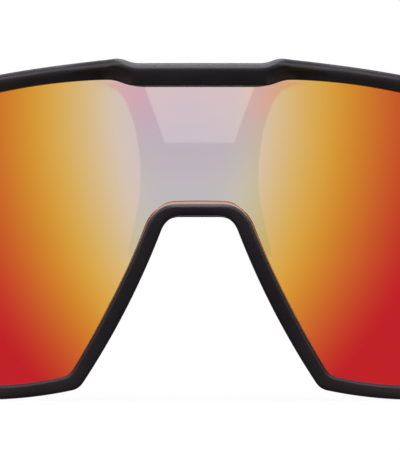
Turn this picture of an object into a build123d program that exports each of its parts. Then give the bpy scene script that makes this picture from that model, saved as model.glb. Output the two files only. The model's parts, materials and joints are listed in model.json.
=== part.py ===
"""Wrap-around glacier glasses: a one-piece cylindrical shield lens in a full-rim front with a stand-off brow
bar, a soft nose saddle on a hard clip, and two folding temples with steel-cored elastomer ear grips.

Millimetres. +Z is up, the front faces -Y, +X is the wearer's left. The glasses stand unfolded on their lower
rims and ear grips, with the origin at the bottom centre of their bounding box. "Back" distances are measured
along +Y from the apex, the foremost line of the lens's outer surface. Outlines of the front list (x, z)
points of its left half, read in threes as arcs.
"""

import os
from math import cos, radians, sin, sqrt, tan

from build123d import *

# Bend of the front
lens_radius = 90.0  # outer surface of the lens, about a vertical axis
lens_thickness = 2.0
rim_proud = 1.5  # rim's front face ahead of the lens
rim_depth = 4.9
groove_depth = 0.8  # how far the lens edge sits inside the rim
fit_gap = 0.05
bore_gap = 0.02  # between parts that are fixed together

# Outline of the front
half_width = 69.4
brow_top = 60.0
shoulder = (14.2, 60.85)
top_curve = [shoulder, (25.0, 59.8), (35.6, 58.3), (53.5, 53.9), (half_width, 46.4)]
low_curve = [
    (half_width, 34.0), (66.9, 21.3), (61.0, 10.67), (52.3, 3.1), (40.0, 0.0), (31.0, 0.5), (22.05, 2.05),
    (13.6, 15.9), (5.85, 32.85),
]
arch_corner_radius = 4.5
foot_radius = 5.0

# Outline of the opening the lens shows in
aperture_top = 57.15
aperture_upper = [(17.8, aperture_top), (27.0, 56.5), (35.6, 55.2), (50.0, 51.6), (62.8, 46.2)]
aperture_lower = [
    (63.4, 31.0), (62.0, 20.7), (58.86, 12.23), (51.0, 5.4), (40.0, 2.65), (32.0, 3.0), (23.5, 4.5),
    (16.3, 16.6), (7.9, 34.75),
]
lens_arch_radius = 6.0
lens_foot_radius = 3.0
lens_temple_radius = 4.0

# Brow bar and the vent behind it
brow_reach = 5.0  # bar's front face ahead of the apex
bar_depth = 3.6
bar_bottom = 56.0
bar_half_width = 11.9
bar_end_top = 60.2
bar_low_corners = [(12.4, bar_bottom), (15.3, aperture_top)]  # where its lower edge rises to the opening's
facet_half_width = 17.6
vent_half_width = 13.5
lens_top = 58.4

# Hinges
pivot_x = 64.6
pivot_back = 39.5
hinge_z = 40.2
knuckle_radius = 2.0
leaf_height = 10.6
leaf_thickness = 1.05
leaf_face_x = 65.6  # inner face of both leaf plates
temple_knuckle_height = 5.0
washer_thickness = 0.2
washer_gap = 0.05
washer_inset = 0.1  # its rim inside the knuckle's
front_leaf_back = 33.2  # forward end of the front leaf
temple_leaf_back = 54.0  # rear end of the temple leaf
screw_radius = 0.8
screw_head_radius = 1.35
screw_head_height = 0.8
screw_slot = (0.35, 0.35)  # width, depth
screw_end_inset = 0.2
running_gap = 0.05
relief_gap = 0.4  # free space around the parts that turn
leaf_screw_radius = 0.55
leaf_screw_head_radius = 1.05
leaf_screw_head_height = 0.4
leaf_screw_length = 2.6
front_screw_places = [(35.1, 3.4), (35.1, -3.4)]  # back, height above the hinge centre
temple_screw_places = [(46.0, 0.0), (50.6, 0.0)]
end_corner_radius = 10.0
end_corner_turn = 22.0  # degrees, where the middle of the corner's arc is taken
end_piece_back = 25.0  # forward end of the side wall
end_margins = (0.8, 0.9)  # of the side wall below and above the leaf
leaf_margin = 0.3  # of the leaf's recess, below and above
leaf_room = 4.0  # cleared inwards of the pivot
butt_back = 42.0  # rear face of the front's end piece
butt_gap = 0.1

# Temples
arm_inner_x = 65.5
toe_in = 3.0  # degrees
arm_front_heights = (34.1, 46.3)
arm_axis_z = 41.1
arm_rear_thickness = 3.6
arm_rear_height = 8.0
arm_edge_radius = 1.1
arm_top_middle = (68.0, 46.0)  # back and height of the middle of its upper edge
arm_low_middle = (66.0, 36.5)
grip_start = 96.0
grip_thickness = 4.2
grip_proud = 0.3  # outside the arm's outer face
grip_half_height = 4.2
grip_edge_radius = 1.7
bend_start = 100.0
ear_bend_radius = 32.0
ear_bend_angle = 50.0
tip_radius = 5.2
cord_hole_radius = 1.25
core_radius = 0.7
core_start = 62.0
core_tail = 20.0  # straight end of the core past the bend

# Nose saddle and clip, on offsets outward from the nose opening's edge
arch_points = [(5.85, 32.85), (12.6, 17.8), (18.4, 7.0)]
arch_shift = [(0.62, 1.0), (0.89, 0.45), (0.89, 0.45)]  # how each point moves per millimetre of offset
arch_spread = [0.25, 0.75, 1.0]  # how much of the rearward flare each point takes
clip_band = (0.35, 2.25)
clip_depth = 2.2
fin_band = (0.9, 1.8)
fin_back = 10.0
fin_root = 0.5  # how far the fin starts inside the clip
saddle_band = (-0.1, 2.9)
saddle_start = 3.0
saddle_back = 18.0
saddle_flare = 3.4
saddle_edge_radius = 0.9
peg_places = [(0, 33.8), (13.45, 18.25), (-13.45, 18.25)]
peg_radius = 0.5
peg_length = 1.1
peg_root = 1.0  # how far a peg starts inside the clip

ear_bend = radians(ear_bend_angle)
ear_straight = (arm_axis_z - tip_radius - ear_bend_radius * (1 - cos(ear_bend))) / sin(ear_bend)
tip_back = bend_start + ear_bend_radius * sin(ear_bend) + ear_straight * cos(ear_bend)
apex_y = brow_reach - (brow_reach + tip_back + tip_radius) / 2
axis_y = apex_y + lens_radius
lens_inner_radius = lens_radius - lens_thickness
rim_front_radius = lens_radius + rim_proud
rim_back_radius = rim_front_radius - rim_depth
clip_back_radius = rim_back_radius - clip_depth
bar_front_radius = lens_radius + brow_reach
bar_back_radius = bar_front_radius - bar_depth
wall_x = leaf_face_x + leaf_thickness + fit_gap / 2  # inner face of the end piece's side wall
pocket_height = temple_knuckle_height + 2 * (washer_thickness + 2 * washer_gap)
leaf_top = hinge_z + leaf_height / 2
leaf_bottom = hinge_z - leaf_height / 2

# Working solids that others are cut from or with
floor_z = -10.0
tall = 90.0
front_plane_back = 75.0
front_span = 90.0
over_cut = 3.0  # how far a cut runs past what it cuts


def behind(back):
    """The y of a point this far behind the apex."""
    return apex_y + back


def on_bend(x, radius):
    """The y at x on a circle of this radius about the bending axis, on the front's side."""
    return axis_y - sqrt(radius**2 - x**2)


def face_plane(back):
    """An upright plane facing forwards, in (x, z)."""
    return Plane.XZ.offset(-behind(back))


def arcs(points):
    """Arcs through each three points of a list, end to end."""
    for start in range(0, len(points) - 2, 2):
        ThreePointArc(*points[start : start + 3])


def round_off(sketch, x, radius):
    """Fillets the pair of outline corners at +x and -x."""
    fillet(sketch.vertices().filter_by(lambda corner: abs(abs(corner.X) - x) < 0.01), radius)


def shell(inner, outer):
    """A tall tube about the bending axis, or a full cylinder when inner is 0."""
    with BuildPart() as tube:
        with BuildSketch(Plane.XY.offset(floor_z)):
            with Locations((0, axis_y)):
                Circle(outer)
                if inner:
                    Circle(inner, mode=Mode.SUBTRACT)
        extrude(amount=tall)
    return tube.part


def front_outline():
    """The front's silhouette, nose notch included."""
    with BuildSketch() as outline:
        with BuildLine():
            Polyline((0, brow_top), (bar_half_width, brow_top), shoulder)
            arcs(top_curve)
            Line(top_curve[-1], low_curve[0])
            arcs(low_curve)
            Line(low_curve[-1], (0, low_curve[-1][1]))
            mirror(about=Plane.YZ)
        make_face()
        round_off(outline, low_curve[-1][0], arch_corner_radius)
        round_off(outline, low_curve[6][0], foot_radius)
    return outline.sketch


def aperture_outline():
    """The opening of the rim."""
    with BuildSketch() as outline:
        with BuildLine():
            Line((0, aperture_top), aperture_upper[0])
            arcs(aperture_upper)
            Line(aperture_upper[-1], aperture_lower[0])
            arcs(aperture_lower)
            Line(aperture_lower[-1], (0, aperture_lower[-1][1]))
            mirror(about=Plane.YZ)
        make_face()
        round_off(outline, aperture_lower[-1][0], lens_arch_radius)
        round_off(outline, aperture_lower[6][0], lens_foot_radius)
        round_off(outline, aperture_upper[-1][0], lens_temple_radius)
    return outline.sketch


def lens_outline(grow):
    """The lens blank: the opening, its edge hidden in the groove, and its free top behind the brow bar."""
    with BuildSketch() as outline:
        offset(aperture_outline(), amount=groove_depth + grow)
        with Locations((0, lens_top + grow)):
            Rectangle(
                2 * (vent_half_width - fit_gap + grow), lens_top + 2 * grow - bar_bottom,
                align=(Align.CENTER, Align.MAX),
            )
    return outline.sketch


def arch_band(back, band, flare):
    """A strip along the nose arch between two offsets, opened out by the flare."""
    inner, outer = [
        [
            (x + across * shift + share * flare, z + up * shift)
            for (x, z), (across, up), share in zip(arch_points, arch_shift, arch_spread)
        ]
        for shift in band
    ]
    with BuildSketch(face_plane(back)) as strip:
        with BuildLine():
            Line((0, inner[0][1]), inner[0])
            ThreePointArc(*inner)
            Line(inner[-1], outer[-1])
            ThreePointArc(*outer)
            Line(outer[0], (0, outer[0][1]))
            mirror(about=Plane.YZ)
        make_face()
    return strip.sketch


def saddle_flare_at(back):
    """How far the saddle has opened out at this distance behind the apex."""
    return saddle_flare * (back - saddle_start) / (saddle_back - saddle_start)


def flared(band, back):
    """The solid along the nose arch from the front of the saddle to a distance behind the apex."""
    with BuildPart() as body:
        add(arch_band(saddle_start, band, 0))
        add(arch_band(back, band, saddle_flare_at(back)))
        loft(ruled=True)
    return body.part


def pegs(grow):
    """The pegs that hold the nose clip in the back of the rim."""
    roots = [Pos(x, on_bend(x, rim_back_radius) + peg_root, z) * Rot(X=90) for x, z in peg_places]
    with BuildPart() as row:
        with Locations(roots):
            Cylinder(
                peg_radius + grow, peg_root + peg_length + grow, align=(Align.CENTER, Align.CENTER, Align.MIN)
            )
    return row.part


def leaf_screws(places, grow):
    """Screws through a leaf plate, pointing outwards, with their heads let in flush."""
    seat = (Align.CENTER, Align.CENTER, Align.MIN)
    with BuildPart() as pair:
        with Locations([Pos(leaf_face_x, behind(back), hinge_z + z) * Rot(Y=90) for back, z in places]):
            Cylinder(leaf_screw_radius + grow, leaf_screw_length + grow, align=seat)
            Cylinder(leaf_screw_head_radius + grow, leaf_screw_head_height + grow, align=seat)
    return pair.part


def hinge_column(radius, bottom, top):
    """A cylinder on the left hinge's axis between two heights."""
    with BuildPart() as column:
        with Locations((pivot_x, behind(pivot_back), bottom)):
            Cylinder(radius, top - bottom, align=(Align.CENTER, Align.CENTER, Align.MIN))
    return column.part


def block(x_span, back_span, z_span):
    """A box between two x, two distances behind the apex and two heights."""
    with BuildPart() as body:
        with Locations((x_span[0], behind(back_span[0]), z_span[0])):
            Box(
                x_span[1] - x_span[0], back_span[1] - back_span[0], z_span[1] - z_span[0],
                align=(Align.MIN, Align.MIN, Align.MIN),
            )
    return body.part


def arm_outer_x(back):
    """Outer face of the temple, in plan."""
    return half_width - (back - butt_back) * tan(radians(toe_in))


def plan_prism(points):
    """A tall prism over a closed outline of (x, back) points."""
    with BuildPart() as body:
        with BuildSketch(Plane.XY.offset(floor_z)):
            with BuildLine():
                Polyline(*[(x, behind(back)) for x, back in points], close=True)
            make_face()
        extrude(amount=tall)
    return body.part


def running_edges(solid):
    """The edges that run along a temple piece, and not those across its ends."""
    shortest = bend_start - grip_start - 2 * fit_gap
    return solid.edges().filter_by(lambda edge: edge.bounding_box().size.Y > shortest)


def core_sweep(radius):
    """The wire inside the left temple, in the upright plane of the toed-in arm."""
    middle_x = arm_outer_x(core_start) - arm_rear_thickness / 2
    lean = radians(toe_in)
    core_plane = Plane(
        origin=(middle_x, behind(core_start), arm_axis_z), x_dir=(-sin(lean), cos(lean), 0),
        z_dir=(cos(lean), sin(lean), 0),
    )
    with BuildPart() as wire:
        with BuildLine(core_plane):
            run = Line((0, 0), (bend_start - core_start, 0))
            bend = JernArc(run @ 1, run % 1, ear_bend_radius, -ear_bend_angle)
            Line(bend @ 1, bend @ 1 + core_tail * (bend % 1))
        with BuildSketch(Plane(origin=run @ 0, z_dir=run % 0)):
            Circle(radius)
        sweep()
    return wire.part


# Front frame: a rim cut from a bent plate, brow bar, end pieces, and everything let into them.
corner_x = half_width - end_corner_radius
corner_back = lens_radius - sqrt((rim_front_radius - end_corner_radius) ** 2 - corner_x**2)
touch = rim_front_radius / (rim_front_radius - end_corner_radius)
touch_point = (corner_x * touch, lens_radius - (lens_radius - corner_back) * touch)
corner_turn = radians(end_corner_turn)
corner_mid = (
    corner_x + end_corner_radius * cos(corner_turn), corner_back - end_corner_radius * sin(corner_turn)
)

with BuildPart() as front_skin:
    with BuildSketch(Plane.XY.offset(floor_z)):
        with BuildLine():
            ThreePointArc(
                (-touch_point[0], behind(touch_point[1])), (0, behind(-rim_proud)),
                (touch_point[0], behind(touch_point[1])),
            )
            for side in (-1, 1):
                ThreePointArc(
                    (side * touch_point[0], behind(touch_point[1])),
                    (side * corner_mid[0], behind(corner_mid[1])),
                    (side * half_width, behind(corner_back)),
                )
                Line((side * half_width, behind(corner_back)), (side * half_width, behind(butt_back)))
            Line((-half_width, behind(butt_back)), (half_width, behind(butt_back)))
        make_face()
    extrude(amount=tall)

with BuildPart() as brow_bar:
    with BuildSketch(Plane.XY.offset(floor_z)):
        with BuildLine():
            ThreePointArc(
                (-bar_half_width, on_bend(bar_half_width, bar_front_radius)), (0, behind(-brow_reach)),
                (bar_half_width, on_bend(bar_half_width, bar_front_radius)),
            )
            for side in (-1, 1):
                Polyline(
                    (side * bar_half_width, on_bend(bar_half_width, bar_front_radius)),
                    (side * facet_half_width, on_bend(facet_half_width, rim_front_radius)),
                    (side * facet_half_width, on_bend(facet_half_width, rim_back_radius)),
                    (side * vent_half_width, on_bend(vent_half_width, rim_back_radius)),
                    (side * vent_half_width, on_bend(vent_half_width, bar_back_radius)),
                )
            ThreePointArc(
                (-vent_half_width, on_bend(vent_half_width, bar_back_radius)), (0, axis_y - bar_back_radius),
                (vent_half_width, on_bend(vent_half_width, bar_back_radius)),
            )
        make_face()
    extrude(amount=tall)
    with BuildSketch(face_plane(front_plane_back)):
        with BuildLine():
            Polyline(
                (0, bar_bottom), *bar_low_corners, (facet_half_width, aperture_top),
                (facet_half_width, bar_end_top), shoulder, (bar_half_width, brow_top), (0, brow_top),
            )
            mirror(about=Plane.YZ)
        make_face()
    extrude(amount=front_span, mode=Mode.INTERSECT)

with BuildPart() as lens_groove:
    with BuildSketch(face_plane(front_plane_back)):
        add(lens_outline(fit_gap))
    extrude(amount=front_span)
    add(shell(lens_inner_radius - fit_gap, lens_radius + fit_gap), mode=Mode.INTERSECT)

with BuildPart() as end_piece:
    add(
        block(
            (wall_x, half_width), (end_piece_back, butt_back),
            (leaf_bottom - end_margins[0], leaf_top + end_margins[1]),
        )
    )
    add(front_skin.part, mode=Mode.INTERSECT)

with BuildPart() as end_cuts:
    add(
        block(
            (pivot_x - leaf_room, wall_x), (front_leaf_back - fit_gap, butt_back + over_cut),
            (leaf_bottom - leaf_margin, leaf_top + leaf_margin),
        )
    )
    add(
        block(
            (pivot_x, wall_x + relief_gap), (pivot_back - over_cut, butt_back + over_cut),
            (hinge_z - pocket_height / 2, hinge_z + pocket_height / 2),
        )
    )
    add(leaf_screws(front_screw_places, bore_gap))

with BuildPart() as front_frame:
    with BuildSketch(face_plane(front_plane_back)):
        add(front_outline())
        add(aperture_outline(), mode=Mode.SUBTRACT)
    extrude(amount=front_span)
    add(shell(rim_back_radius, rim_front_radius), mode=Mode.INTERSECT)
    add(front_skin.part, mode=Mode.INTERSECT)
    add(
        block(
            (-vent_half_width, vent_half_width), (-over_cut, rim_depth + over_cut),
            (bar_bottom, brow_top + over_cut),
        ),
        mode=Mode.SUBTRACT,
    )
    add(brow_bar.part)
    add(end_piece.part)
    add(mirror(end_piece.part, about=Plane.YZ))
    add(lens_groove.part, mode=Mode.SUBTRACT)
    add(end_cuts.part, mode=Mode.SUBTRACT)
    add(mirror(end_cuts.part, about=Plane.YZ), mode=Mode.SUBTRACT)
    add(pegs(bore_gap), mode=Mode.SUBTRACT)

with BuildPart() as shield_lens:
    with BuildSketch(face_plane(front_plane_back)):
        add(lens_outline(0))
    extrude(amount=front_span)
    add(shell(lens_inner_radius, lens_radius), mode=Mode.INTERSECT)

# Nose: the hard clip pegged into the rim's back, and the soft saddle pushed over its fin.
with BuildPart() as clip_fin:
    add(flared(fin_band, fin_back))
    add(shell(0, clip_back_radius + fin_root), mode=Mode.INTERSECT)

with BuildPart() as nose_clip:
    add(extrude(arch_band(saddle_back, clip_band, 0), amount=front_span))
    add(shell(clip_back_radius, rim_back_radius - bore_gap), mode=Mode.INTERSECT)
    add(clip_fin.part)
    add(pegs(0))

fin_hole_band = (fin_band[0] - fit_gap, fin_band[1] + fit_gap)
with BuildPart() as nose_saddle:
    add(flared(saddle_band, saddle_back))
    fillet(nose_saddle.faces().sort_by(Axis.Y)[-1].edges(), saddle_edge_radius)
    add(shell(0, clip_back_radius - bore_gap), mode=Mode.INTERSECT)
    add(flared(fin_hole_band, fin_back + fit_gap), mode=Mode.SUBTRACT)

# Left hinge
with BuildPart() as front_leaf:
    add(
        block(
            (leaf_face_x, leaf_face_x + leaf_thickness), (front_leaf_back, pivot_back),
            (leaf_bottom, leaf_top),
        )
    )
    add(
        block(
            (pivot_x - over_cut, pivot_x + over_cut),
            (pivot_back - knuckle_radius - relief_gap, pivot_back + over_cut),
            (hinge_z - pocket_height / 2, hinge_z + pocket_height / 2),
        ),
        mode=Mode.SUBTRACT,
    )
    add(hinge_column(knuckle_radius, leaf_bottom, hinge_z - pocket_height / 2))
    add(hinge_column(knuckle_radius, hinge_z + pocket_height / 2, leaf_top))
    add(
        hinge_column(screw_radius + running_gap, leaf_bottom - over_cut, leaf_top + over_cut),
        mode=Mode.SUBTRACT,
    )
    add(
        hinge_column(
            screw_head_radius + bore_gap, leaf_top - screw_head_height - bore_gap, leaf_top + over_cut
        ),
        mode=Mode.SUBTRACT,
    )
    add(leaf_screws(front_screw_places, bore_gap), mode=Mode.SUBTRACT)

with BuildPart() as temple_leaf:
    half_knuckle = temple_knuckle_height / 2
    add(
        block(
            (leaf_face_x, leaf_face_x + leaf_thickness), (pivot_back, temple_leaf_back),
            (hinge_z - half_knuckle, hinge_z + half_knuckle),
        )
    )
    add(hinge_column(knuckle_radius, hinge_z - half_knuckle, hinge_z + half_knuckle))
    add(hinge_column(screw_radius + running_gap, leaf_bottom, leaf_top), mode=Mode.SUBTRACT)
    add(leaf_screws(temple_screw_places, bore_gap), mode=Mode.SUBTRACT)

with BuildPart() as hinge_screw:
    add(hinge_column(screw_radius, leaf_bottom + screw_end_inset, leaf_top - bore_gap))
    add(hinge_column(screw_head_radius, leaf_top - screw_head_height, leaf_top - bore_gap))
    with Locations((pivot_x, behind(pivot_back), leaf_top)):
        Box(2 * screw_head_radius, screw_slot[0], 2 * screw_slot[1], mode=Mode.SUBTRACT)

washer_rise = temple_knuckle_height / 2 + washer_gap + washer_thickness / 2
with BuildPart() as hinge_washers:
    with Locations([(pivot_x, behind(pivot_back), hinge_z + side * washer_rise) for side in (-1, 1)]):
        Cylinder(knuckle_radius - washer_inset, washer_thickness)
        Cylinder(screw_radius + running_gap, washer_thickness, mode=Mode.SUBTRACT)

# Left temple: a hard arm, then a soft ear grip, on one steel core
with BuildPart() as temple_arm:
    with BuildSketch(Plane.YZ):
        low, high = arm_front_heights
        rear_low = arm_axis_z - arm_rear_height / 2
        rear_high = arm_axis_z + arm_rear_height / 2
        with BuildLine():
            start_y = behind(butt_back + butt_gap)
            Line((start_y, low), (start_y, high))
            ThreePointArc(
                (start_y, high), (behind(arm_top_middle[0]), arm_top_middle[1]),
                (behind(grip_start), rear_high),
            )
            Line((behind(grip_start), rear_high), (behind(grip_start), rear_low))
            ThreePointArc(
                (behind(grip_start), rear_low), (behind(arm_low_middle[0]), arm_low_middle[1]), (start_y, low)
            )
        make_face()
    extrude(amount=tall)
    add(
        plan_prism(
            [
                (half_width, butt_back), (arm_outer_x(grip_start), grip_start),
                (arm_outer_x(grip_start) - arm_rear_thickness, grip_start), (arm_inner_x, butt_back),
            ]
        ),
        mode=Mode.INTERSECT,
    )
    fillet(running_edges(temple_arm), arm_edge_radius)
    add(
        block(
            (pivot_x, leaf_face_x + leaf_thickness + bore_gap),
            (butt_back - over_cut, temple_leaf_back + fit_gap),
            (hinge_z - half_knuckle - fit_gap, hinge_z + half_knuckle + fit_gap),
        ),
        mode=Mode.SUBTRACT,
    )
    add(leaf_screws(temple_screw_places, bore_gap), mode=Mode.SUBTRACT)
    add(core_sweep(core_radius + bore_gap), mode=Mode.SUBTRACT)

with BuildPart() as ear_grip:
    grip_low = arm_axis_z - grip_half_height
    grip_high = arm_axis_z + grip_half_height
    bend_z = arm_axis_z - ear_bend_radius
    with BuildSketch(Plane.YZ):
        with BuildLine():
            root = Polyline(
                (behind(bend_start), grip_high), (behind(grip_start + fit_gap), grip_high),
                (behind(grip_start + fit_gap), grip_low), (behind(bend_start), grip_low),
            )
            under = CenterArc(
                (behind(bend_start), bend_z), ear_bend_radius - grip_half_height, 90, -ear_bend_angle
            )
            over = CenterArc(
                (behind(bend_start), bend_z), ear_bend_radius + grip_half_height, 90, -ear_bend_angle
            )
            tip = CenterArc((behind(tip_back), tip_radius), tip_radius, 90 - ear_bend_angle, -180)
            Line(over @ 1, tip @ 0)
            Line(tip @ 1, under @ 1)
        make_face()
    extrude(amount=tall)
    grip_end = tip_back + tip_radius + over_cut
    add(
        plan_prism(
            [
                (arm_outer_x(back) + grip_proud - inset, back)
                for back, inset in (
                    (grip_start, 0), (grip_end, 0), (grip_end, grip_thickness), (grip_start, grip_thickness)
                )
            ]
        ),
        mode=Mode.INTERSECT,
    )
    fillet(running_edges(ear_grip), grip_edge_radius)
    add(core_sweep(core_radius + bore_gap), mode=Mode.SUBTRACT)
    with Locations(Pos(arm_outer_x(tip_back), behind(tip_back), tip_radius) * Rot(Y=90)):
        Cylinder(cord_hole_radius, 2 * over_cut + 2 * grip_thickness, mode=Mode.SUBTRACT)

pieces = {
    "front_frame": front_frame.part,
    "shield_lens": shield_lens.part,
    "nose_clip": nose_clip.part,
    "nose_saddle": nose_saddle.part,
}
left_pieces = {
    "front_leaf": front_leaf.part,
    "front_leaf_screws": leaf_screws(front_screw_places, 0),
    "temple_leaf": temple_leaf.part,
    "temple_leaf_screws": leaf_screws(temple_screw_places, 0),
    "hinge_screw": hinge_screw.part,
    "hinge_washers": hinge_washers.part,
    "temple_arm": temple_arm.part,
    "temple_core": core_sweep(core_radius),
    "ear_grip": ear_grip.part,
}
for name, part in left_pieces.items():
    pieces[f"left_{name}"] = part
    pieces[f"right_{name}"] = mirror(part, about=Plane.YZ)

os.makedirs("parts", exist_ok=True)
for name, part in pieces.items():
    part.label = name
    export_step(part, f"parts/{name}.step")
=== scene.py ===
# Glacier glasses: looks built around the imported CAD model. Lengths in the dictionaries are millimetres.
import json
import math
import bpy
import bmesh
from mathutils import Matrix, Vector

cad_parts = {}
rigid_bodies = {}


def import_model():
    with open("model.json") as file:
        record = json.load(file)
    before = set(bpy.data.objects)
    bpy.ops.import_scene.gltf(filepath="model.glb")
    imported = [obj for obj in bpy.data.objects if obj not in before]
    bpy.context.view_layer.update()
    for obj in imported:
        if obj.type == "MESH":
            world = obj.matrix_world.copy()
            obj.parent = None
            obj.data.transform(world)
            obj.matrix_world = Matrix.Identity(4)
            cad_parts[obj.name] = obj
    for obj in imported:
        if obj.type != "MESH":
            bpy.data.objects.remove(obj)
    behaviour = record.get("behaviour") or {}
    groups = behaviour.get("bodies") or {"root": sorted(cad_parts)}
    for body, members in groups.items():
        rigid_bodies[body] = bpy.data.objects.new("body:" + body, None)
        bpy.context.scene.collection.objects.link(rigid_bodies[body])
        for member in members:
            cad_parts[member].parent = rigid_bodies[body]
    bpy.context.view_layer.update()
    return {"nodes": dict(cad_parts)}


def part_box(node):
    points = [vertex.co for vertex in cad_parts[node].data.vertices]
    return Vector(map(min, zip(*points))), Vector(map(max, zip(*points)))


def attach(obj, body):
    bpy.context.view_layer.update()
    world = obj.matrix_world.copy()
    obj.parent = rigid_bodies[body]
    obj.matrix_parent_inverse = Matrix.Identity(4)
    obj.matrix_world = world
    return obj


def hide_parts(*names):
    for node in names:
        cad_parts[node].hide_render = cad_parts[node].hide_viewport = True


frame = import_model()
nodes = frame["nodes"]
mm = 0.001
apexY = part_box("shield_lens")[0][1] / mm  # foremost line of the lens


def linear(code):
    channels = [int(code[i:i + 2], 16) / 255 for i in (1, 3, 5)]
    return [c / 12.92 if c <= 0.04045 else ((c + 0.055) / 1.055) ** 2.4 for c in channels] + [1]


def addNode(tree, kind, settings=None, links=None):
    made = tree.nodes.new(kind)
    for key, value in (settings or {}).items():
        if isinstance(key, str) and hasattr(made, key) and key not in made.inputs:
            setattr(made, key, value)
        else:
            made.inputs[key].default_value = value
    for key, source in (links or {}).items():
        tree.links.new(source, made.inputs[key])
    return made


def newMaterial(name):
    material = bpy.data.materials.new(name)
    material.use_nodes = True
    tree = material.node_tree
    tree.nodes.clear()
    shader = addNode(tree, "ShaderNodeBsdfPrincipled")
    addNode(tree, "ShaderNodeOutputMaterial", links={"Surface": shader.outputs[0]})
    place = addNode(tree, "ShaderNodeTexCoord")
    return material, tree, shader, place.outputs["Object"]


def mouldedPlastic(name, v):
    # toothSize and toothHeight are the mould texture's, in mm
    material, tree, shader, place = newMaterial(name)
    tooth = addNode(tree, "ShaderNodeTexNoise", {"Scale": 1000 / v["toothSize"], "Detail": 3},
                    {"Vector": place})
    relief = addNode(tree, "ShaderNodeBump", {"Strength": 0.5, "Distance": v["toothHeight"] * mm},
                     {"Height": tooth.outputs["Fac"]})
    # flow marks 11 mm long
    flow = addNode(tree, "ShaderNodeTexNoise", {"Scale": 90.0, "Detail": 4}, {"Vector": place})
    tone = addNode(tree, "ShaderNodeValToRGB", links={"Fac": flow.outputs["Fac"]})
    for stop, (position, code) in zip(tone.color_ramp.elements, ((0.35, v["dark"]), (0.68, v["light"]))):
        stop.position, stop.color = position, linear(code)
    gloss = addNode(tree, "ShaderNodeMapRange", {
        "From Min": 0.3, "From Max": 0.7,
        "To Min": v["roughness"] - 0.06, "To Max": v["roughness"] + 0.06}, {"Value": tooth.outputs["Fac"]})
    tree.links.new(tone.outputs[0], shader.inputs["Base Color"])
    tree.links.new(gloss.outputs[0], shader.inputs["Roughness"])
    tree.links.new(relief.outputs[0], shader.inputs["Normal"])
    shader.inputs["IOR"].default_value = v["ior"]
    shader.inputs["Specular IOR Level"].default_value = v["specular"]
    shader.inputs["Sheen Weight"].default_value = v["sheen"]
    return material


# nylon 12, injection moulded in a spark-eroded tool: a dead, even black with a very fine tooth
frameNylon = mouldedPlastic("mouldedNylonSparkFinish", {
    "dark": "#060507", "light": "#0a090b", "roughness": 0.38, "toothSize": 0.16, "toothHeight": 0.005,
    "ior": 1.53, "specular": 0.04, "sheen": 0.0})
# thermoplastic elastomer, moulded: softer and duller than the nylon, a little dusty at grazing angles
gripElastomer = mouldedPlastic("mouldedElastomerMatt", {
    "dark": "#0f0f10", "light": "#171718", "roughness": 0.62, "toothSize": 0.22, "toothHeight": 0.012,
    "ior": 1.5, "specular": 0.16, "sheen": 0.02})
# unpigmented nylon sheet, stamped: a waxy ivory
washerNylon = mouldedPlastic("stampedNaturalNylon", {
    "dark": "#cfc9b6", "light": "#ddd8c8", "roughness": 0.42, "toothSize": 0.3, "toothHeight": 0.004,
    "ior": 1.53, "specular": 0.5, "sheen": 0.0})


def steel(name, v):
    # scratch is the spacing of the tool marks in mm, and stretch is how they are drawn out along each axis
    material, tree, shader, place = newMaterial(name)
    drawn = addNode(tree, "ShaderNodeMapping", {"Scale": v["stretch"]}, {"Vector": place})
    marks = addNode(tree, "ShaderNodeTexNoise", {"Scale": 1000 / v["scratch"], "Detail": 5},
                    {"Vector": drawn.outputs[0]})
    relief = addNode(tree, "ShaderNodeBump", {"Strength": 0.25, "Distance": 0.004 * mm},
                     {"Height": marks.outputs["Fac"]})
    tone = addNode(tree, "ShaderNodeValToRGB", links={"Fac": marks.outputs["Fac"]})
    for stop, (position, code) in zip(tone.color_ramp.elements, ((0.35, v["dark"]), (0.68, v["light"]))):
        stop.position, stop.color = position, linear(code)
    gloss = addNode(tree, "ShaderNodeMapRange", {
        "From Min": 0.3, "From Max": 0.7,
        "To Min": v["roughness"] - 0.08, "To Max": v["roughness"] + 0.1}, {"Value": marks.outputs["Fac"]})
    tree.links.new(tone.outputs[0], shader.inputs["Base Color"])
    tree.links.new(gloss.outputs[0], shader.inputs["Roughness"])
    tree.links.new(relief.outputs[0], shader.inputs["Normal"])
    shader.inputs["Metallic"].default_value = 1.0
    return material


# stainless steel leaves, stamped then tumbled with stones: soft grey with short rubbed marks
leafSteel = steel("tumbledStainlessSteel", {
    "dark": "#a39e98", "light": "#bdb8b1", "roughness": 0.34, "scratch": 0.25, "stretch": (1.0, 0.25, 1.0)})
# screws turned from bright bar: sharper and lighter, with fine rings round the axis
screwSteel = steel("turnedBrightSteel", {
    "dark": "#b9b6b2", "light": "#d2cfca", "roughness": 0.22, "scratch": 0.18, "stretch": (1.0, 1.0, 0.15)})
# annealed wire, drawn through a die: long fine lines
wireSteel = steel("drawnAnnealedWire", {
    "dark": "#8f8b86", "light": "#aba7a1", "roughness": 0.38, "scratch": 0.2, "stretch": (1.0, 0.12, 1.0)})

coatValues = {
    "centreX": -2.5,      # the palest line of the coat, mm from the middle
    "perMm": 0.02485,     # how fast the colour runs outwards
    "topZ": 53.4,
    "fall": 0.000211,     # how fast it runs downwards, per square mm
    "start": 1.1994,      # the amount on the palest line at topZ
    "roughness": 0.02,
    "tones": [(0.0, "#bd1f28"), (0.1, "#c23128"), (0.2, "#c54a28"), (0.3, "#ca632a"),
              (0.4, "#cf7c2b"), (0.5, "#d59332"), (0.6, "#d9a647"), (0.7, "#d9b269"),
              (0.8, "#d8be92"), (0.9, "#d6c4b6"), (1.0, "#cfbec5"), (1.3, "#cdbcc6")],
}


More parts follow.
